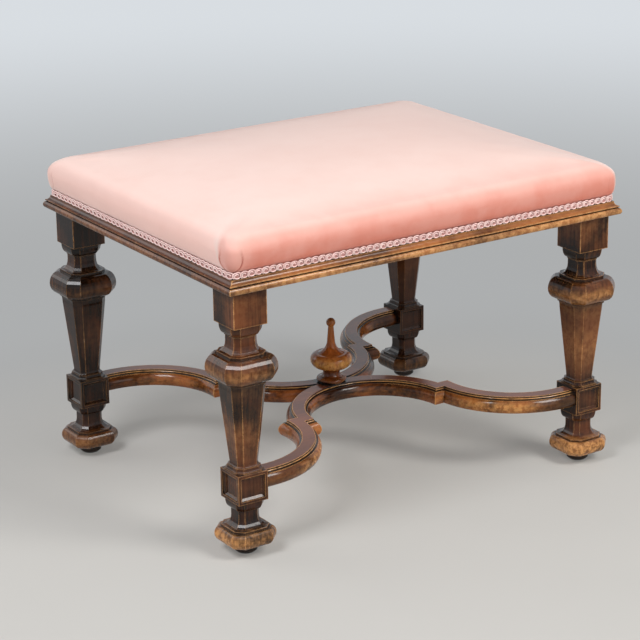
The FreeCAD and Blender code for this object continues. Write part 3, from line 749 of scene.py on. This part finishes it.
def from_pleat(point, normal):
    """How far a point lies outside the pleat of its side of a corner."""
    on_long = faces_long_side(normal)
    start, peak = pleat_long if on_long else pleat_short
    up = min(1.0, (point.z - gimp_high.z) / pleat_height)
    line = peak - (peak - start) * ((up - pleat_bulge) / pleat_bulge) ** 2
    from_corner = cover_high.x - abs(point.x) if on_long else cover_high.y - abs(point.y)
    return from_corner - line


def pleat_at(point, normal):
    """How far a point of the cover moves out at a pleat, and how deep in its fold it lies.
    The pleats at the right ends of the long sides are faint."""
    rise = point.z - gimp_high.z
    if rise < 0 or rise > pleat_height + pleat_fade:
        return 0.0, 0.0
    fade = min(1.0, (pleat_height + pleat_fade - rise) / (2 * pleat_fade))
    if point.x > 0 and faces_long_side(normal):
        fade *= pleat_faint
    beyond = from_pleat(point, normal)
    fold = math.exp(-(beyond / pleat_width) ** 2) * fade
    lip = math.exp(-beyond / pleat_lip_reach) * fade if beyond > 0 else 0.0
    return pleat_lip * lip - pleat_depth * fold, fold


def sheen_and_shade_at(point, normal):
    """How deep the pile looks, as painted shade: deepest low on the long sides, pale on the ends as painted
    sheen.
    At the front left corner it turns at the pleat, and at the other corners where the side does."""
    rise = point.z - gimp_high.z
    depth = curve_at(sheen_shade_heights, sheen_shade_depths, rise)
    if point.x > 0 or point.y > 0:
        past = (abs(normal.x) / (abs(normal.x) + abs(normal.y)) - sheen_shade_turn) / (1 - 2 * sheen_shade_turn)
    elif faces_long_side(normal):
        past = sheen_shade_corner * (1 - max(0.0, from_pleat(point, normal)) / sheen_shade_corner_reach)
    else:
        above = max(0.0, rise - pleat_bulge * pleat_height)
        inset = max(0.0, cover_high.x - abs(point.x))
        past = max(sheen_shade_corner, (from_pleat(point, normal) - sheen_shade_lean * inset) / (sheen_shade_blend + above))
    return depth * (1 - clamped(past) * (1 - sheen_shade_ends))


def ripple_at(point):
    """Slight unevenness of the stuffed edge between the braid and the crown."""
    rise = (point.z - gimp_high.z) / (cover_high.z - gimp_high.z)
    if not 0 < rise < 1:
        return 0.0
    return ripple_depth * math.sin(math.pi * rise) * noise.noise(point * (1 / ripple_length))


def make_seat():
    """Velvet cover over its stuffing, closed underneath, with two pleats at each corner."""
    mesh, outward = seat_mesh()
    moves = press_out(mesh)
    fold_shades = []
    sheen_and_shade_values = []
    for vertex, move, normal in zip(mesh.vertices, moves, outward):
        out, fold = pleat_at(vertex.co, normal)
        out += ripple_at(vertex.co)
        fold_shades.append(fold)
        sheen_and_shade_values.append(sheen_and_shade_at(vertex.co, normal))
        vertex.co += move + normal * out
    # How deep in a fold each point lies, to darken it as painted shade
    mesh.attributes.new("pleat", "FLOAT", "POINT").data.foreach_set("value", fold_shades)
    # Painted sheen and shade of the pile at each point
    mesh.attributes.new("sheen_and_shade", "FLOAT", "POINT").data.foreach_set("value", sheen_and_shade_values)
    mesh.polygons.foreach_set("use_smooth", [True] * len(mesh.polygons))
    mesh.materials.append(velvet())
    seat = add_object("seat", mesh)
    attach(seat, "root")
    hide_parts("cover", "stuffing")


def walk_round(half_x, half_y, radius):
    """Length of a rounded rectangle, and a function that gives the point, way and normal
    at a distance along it."""
    stretches = []
    for turn in range(4):
        along_half, out_half = (half_x, half_y) if turn % 2 == 0 else (half_y, half_x)
        straight = along_half - radius
        stretches.append((turn, straight, out_half, 2 * straight, True))
        stretches.append((turn, straight, out_half, radius * math.pi / 2, False))
    total = sum(stretch[3] for stretch in stretches)

    def at(distance):
        distance %= total
        for turn, straight, out_half, length, is_line in stretches:
            if distance <= length:
                break
            distance -= length
        angle = 0.0 if is_line else distance / radius
        normal = Vector((math.sin(angle), -math.cos(angle), 0))
        point = Vector((straight, radius - out_half, 0)) + normal * radius
        if is_line:
            point.x = distance - straight
        spin = Matrix.Rotation(turn * math.pi / 2, 3, "Z")
        return spin @ point, spin @ Vector((-normal.y, normal.x, 0)), spin @ normal

    return total, at


def loop_line(size, tilt):
    """Points of one loop of the braid: along the braid, up, and out."""
    points = []
    for i in range(loop_steps + 1):
        share = i / loop_steps
        angle = math.pi * loop_start - 2 * math.pi * loop_turns * share + tilt
        curl = max(0.0, share - loop_curl_from) / (1 - loop_curl_from)
        shrink = size * (1 - (1 - loop_inner) * curl)
        c, s = math.cos(angle), math.sin(angle)
        square = (abs(c) ** loop_squareness + abs(s) ** loop_squareness) ** (-1 / loop_squareness)
        x = loop_half_width * shrink * square * c
        points.append(Vector((x, loop_half_height * shrink * square * s,
                              -loop_lean * x / loop_half_width + loop_rise * share)))
    return points


def add_cord(shape, points, outward):
    """Tube of cord along points."""
    turns = [2 * math.pi * k / cord_sides for k in range(cord_sides)]
    rings = []
    for i, point in enumerate(points):
        way = (points[min(i + 1, len(points) - 1)] - points[max(i - 1, 0)]).normalized()
        aside = way.cross(outward).normalized()
        out = aside.cross(way)
        rings.append([shape.verts.new(point + cord_radius * (math.cos(turn) * aside + math.sin(turn) * out))
                      for turn in turns])
    faces = [shape.faces.new(rings[0][::-1]), shape.faces.new(rings[-1])]
    for low, high in zip(rings, rings[1:]):
        for k in range(cord_sides):
            j = (k + 1) % cord_sides
            faces.append(shape.faces.new((low[k], low[j], high[j], high[k])))
    for face in faces:
        face.smooth = True


def add_loops(shape, corner):
    """Row of curled loops of cord round the foot of the cover."""
    rng = random.Random(braid_seed)
    middle = (gimp_low.z + gimp_high.z) / 2
    setback = band_setback - cord_radius
    length, at = walk_round(gimp_high.x - setback, gimp_high.y - setback, corner - setback)
    count = round(length / loop_pitch)
    for i in range(count):
        start = length * i / count
        outward = at(start)[2]
        size = 1 + rng.uniform(-loop_wobble, loop_wobble)
        tilt = rng.uniform(-loop_wobble, loop_wobble) * loop_tilt
        line = []
        for step in loop_line(size, tilt):
            point, way, normal = at(start + step.x)
            line.append(point + normal * step.z + Vector((0, 0, middle + step.y)))
        add_cord(shape, line, outward)


def add_band(shape, corner):
    """Woven band behind the loops, in the braid's second material."""
    length, at = walk_round(gimp_high.x - band_setback, gimp_high.y - band_setback, corner - band_setback)
    depth = cover_behind_braid - band_setback - cover_clearance
    low, high = gimp_low.z + band_margin, gimp_high.z - band_margin
    section = ((depth, low), (0, low), (0, high), (depth, high))
    steps = round(length / band_step)
    rings = []
    for i in range(steps):
        point, way, normal = at(length * i / steps)
        rings.append([shape.verts.new(point - normal * back + Vector((0, 0, z))) for back, z in section])
    for i in range(steps):
        near, far = rings[i - 1], rings[i]
        for k in range(len(section)):
            j = (k + 1) % len(section)
            shape.faces.new((near[k], far[k], far[j], near[j])).material_index = 1


def make_braid():
    """Scroll braid round the foot of the cover: a woven band with a row of curled loops of cord on it."""
    shape = bmesh.new()
    corner = foot_corner + cover_behind_braid
    add_loops(shape, corner)
    add_band(shape, corner)
    bmesh.ops.recalc_face_normals(shape, faces=shape.faces)
    mesh = bpy.data.meshes.new("scroll_braid")
    shape.to_mesh(mesh)
    shape.free()
    mesh.materials.append(braid_cord())
    mesh.materials.append(braid_band())
    braid = add_object("scroll_braid", mesh)
    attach(braid, "root")
    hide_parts("gimp")


def dress(material, *starts):
    """Gives a material to every CAD node whose name starts with one of these."""
    for name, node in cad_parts.items():
        if name.startswith(starts):
            node.data.materials.clear()
            node.data.materials.append(material)


def dress_legs():
    """Wood of the legs, each with its own wear and painted light and shade."""
    for name, (strength, rub, wear, stain) in leg_wear_and_shade.items():
        colours = [tuple(strength * part for part in colour) for colour in leg_colours]
        bands = [(level, min(1.0, rub * amount)) for level, amount in leg_bands]
        shade = [(level, stain * amount) for level, amount in leg_shade]
        dress(wood(name + "_wood", "Z", colours, bands, shade=shade, wear=wear), name)


def dress_stretcher():
    """Wood of the stretcher and its finial."""
    arm_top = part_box("stretcher_hub")[1].z
    end_depth, end_rub = arm_band_end
    bands = (*arm_bands, (arm_top - end_depth, end_rub))
    groove = [arm_top - depth for depth in arm_groove]
    arm_wood = wood("stretcher_wood", "X", stretcher_colours, bands, stretcher_top_reflection, groove,
                    outward=arm_distances)
    dress(arm_wood, "stretcher_arm", "stretcher_hub")
    belly = arm_top + finial_belly
    bands = ((arm_top, finial_foot_rub), *((belly + rise, amount) for rise, amount in finial_bands))
    dress(wood("finial_wood", "Z", finial_colours, bands), "finial")


def dress_frame():
    """Woods, jute and iron on the pieces that keep their CAD shape."""
    dress_legs()
    dress_stretcher()
    long_wood = wood("rail_wood_long", "X", long_rail_colours, rail_bands, reach=rail_reach)
    dress(long_wood, "rail_front", "rail_back")
    # Short rails darker as painted shade
    short_shaded_wood = wood("rail_wood_short_shaded", "Y", short_rail_shaded_colours, rail_bands, reach=rail_reach)
    dress(short_shaded_wood, "rail_left", "rail_right")
    dress(wood("pad_wood", "Z", pad_colours), "pad_")
    dress(wood("inner_wood", "X", inner_colours), "mitre_", "stretcher_dowels")
    dress(jute("webbing", webbing_colours, webbing_thread), "webbing_long", "webbing_cross")
    dress(jute("hessian", hessian_colours, hessian_thread), "hessian")
    dress(iron(), "webbing_tacks", "cover_tacks")


def make_floor():
    """Plain floor that runs on behind the stool."""
    mesh = bpy.data.meshes.new("floor")
    corners = [(x * floor_half, y * floor_half, 0.0) for x, y in ((-1, -1), (1, -1), (1, 1), (-1, 1))]
    mesh.from_pydata(corners, [], [(0, 1, 2, 3)])
    mesh.materials.append(floor_material())
    floor = add_object("floor", mesh)


def make_camera():
    """Camera at the photograph's viewing angle."""
    data = bpy.data.cameras.new("camera")
    data.lens = camera_lens
    camera = add_object("camera", data)
    flat = math.cos(camera_elevation)
    back = Vector((math.sin(camera_azimuth) * flat, -math.cos(camera_azimuth) * flat,
                   math.sin(camera_elevation)))
    spin = (-back).to_track_quat("-Z", "Y").to_matrix() @ Matrix.Rotation(-camera_roll, 3, "Z")
    camera.matrix_world = Matrix.Translation(camera_target + back * camera_distance) @ spin.to_4x4()
    bpy.context.scene.camera = camera


def soft_light(name, place, size, power, colour):
    """Square studio light aimed at the stool."""
    data = bpy.data.lights.new(name, "AREA")
    data.size = size
    data.energy = power
    data.color = colour
    light = add_object(name, data)
    light.location = place
    light.rotation_euler = (light_aim - Vector(place)).to_track_quat("-Z", "Y").to_euler()


def make_light():
    """Studio lights, a little light from all round, and the pale grey that shiny surfaces mirror."""
    for name, (place, size, power, colour) in studio_lights.items():
        soft_light(name, place, size, power, colour)
    world = bpy.data.worlds.new("studio")
    world.use_nodes = True
    tree = world.node_tree
    ambient = tree.nodes["Background"]
    ambient.inputs["Color"].default_value = ambient_colour
    ambient.inputs["Strength"].default_value = ambient_strength
    seen = tree.nodes.new("ShaderNodeBackground")
    seen.inputs["Color"].default_value = world_colour
    choice = tree.nodes.new("ShaderNodeMixShader")
    tree.links.new(seen_share(tree), choice.inputs[0])
    tree.links.new(ambient.outputs[0], choice.inputs[1])
    tree.links.new(seen.outputs[0], choice.inputs[2])
    tree.links.new(choice.outputs[0], tree.nodes["World Output"].inputs["Surface"])
    bpy.context.scene.world = world


make_camera()
dress_frame()
make_seat()
make_braid()
make_floor()
make_light()
bpy.context.scene.view_settings.view_transform = "Standard"
